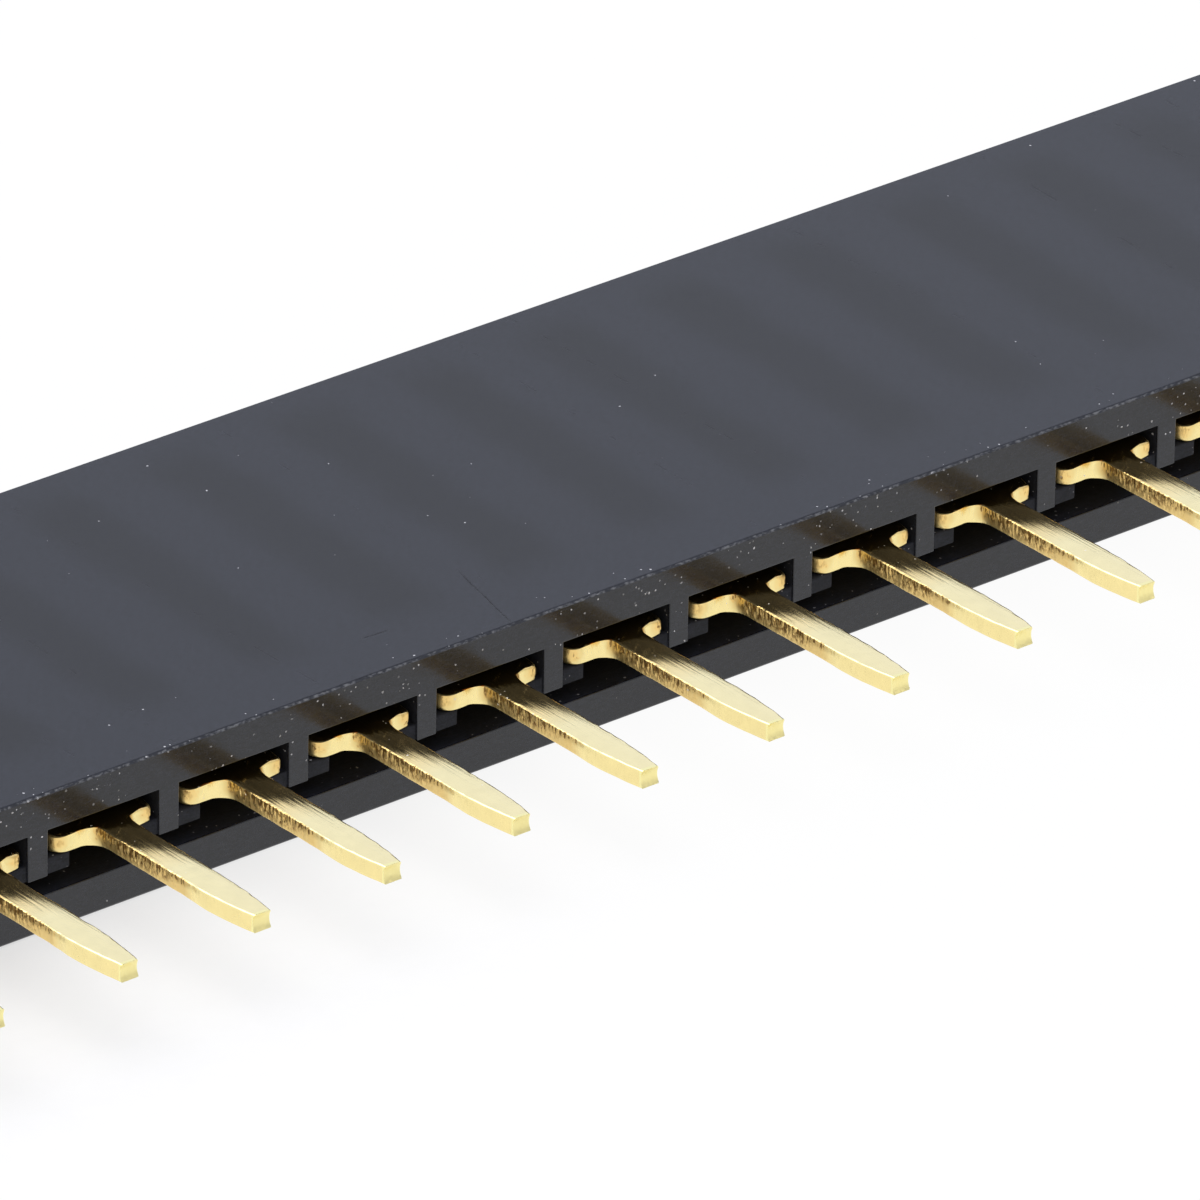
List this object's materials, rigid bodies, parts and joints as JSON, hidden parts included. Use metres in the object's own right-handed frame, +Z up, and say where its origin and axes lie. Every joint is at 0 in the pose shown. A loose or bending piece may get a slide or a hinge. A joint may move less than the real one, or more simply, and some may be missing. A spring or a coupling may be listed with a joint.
{
  "type": "female pin header strip",
  "caption": "Straight single-row socket strip: black moulded housing with square pin sockets on one side and flat gold-plated solder tails on the other.",
  "frame": {"origin": "middle of the strip's footprint on the wall that it rests on", "axes": "+X along the strip, solder tails towards -Y, sockets open towards +Y, +Z up from the side wall that it lies on"},
  "size_m": [0.051, 0.0122, 0.0024],
  "materials": {
    "housing_plastic": "black glass-filled moulding, satin, nearly smooth",
    "contact_plating": "thin bright gold plating over a stamped copper alloy sheet, with sheared edges"
  },
  "bodies": {
    "root": {"housing": "housing_plastic", "contact_01": "contact_plating", "contact_02": "contact_plating", "contact_03": "contact_plating", "contact_04": "contact_plating", "contact_05": "contact_plating", "contact_06": "contact_plating", "contact_07": "contact_plating", "contact_08": "contact_plating", "contact_09": "contact_plating", "contact_10": "contact_plating", "contact_11": "contact_plating", "contact_12": "contact_plating", "contact_13": "contact_plating", "contact_14": "contact_plating", "contact_15": "contact_plating", "contact_16": "contact_plating", "contact_17": "contact_plating", "contact_18": "contact_plating", "contact_19": "contact_plating", "contact_20": "contact_plating"}
  },
  "joints": []
}
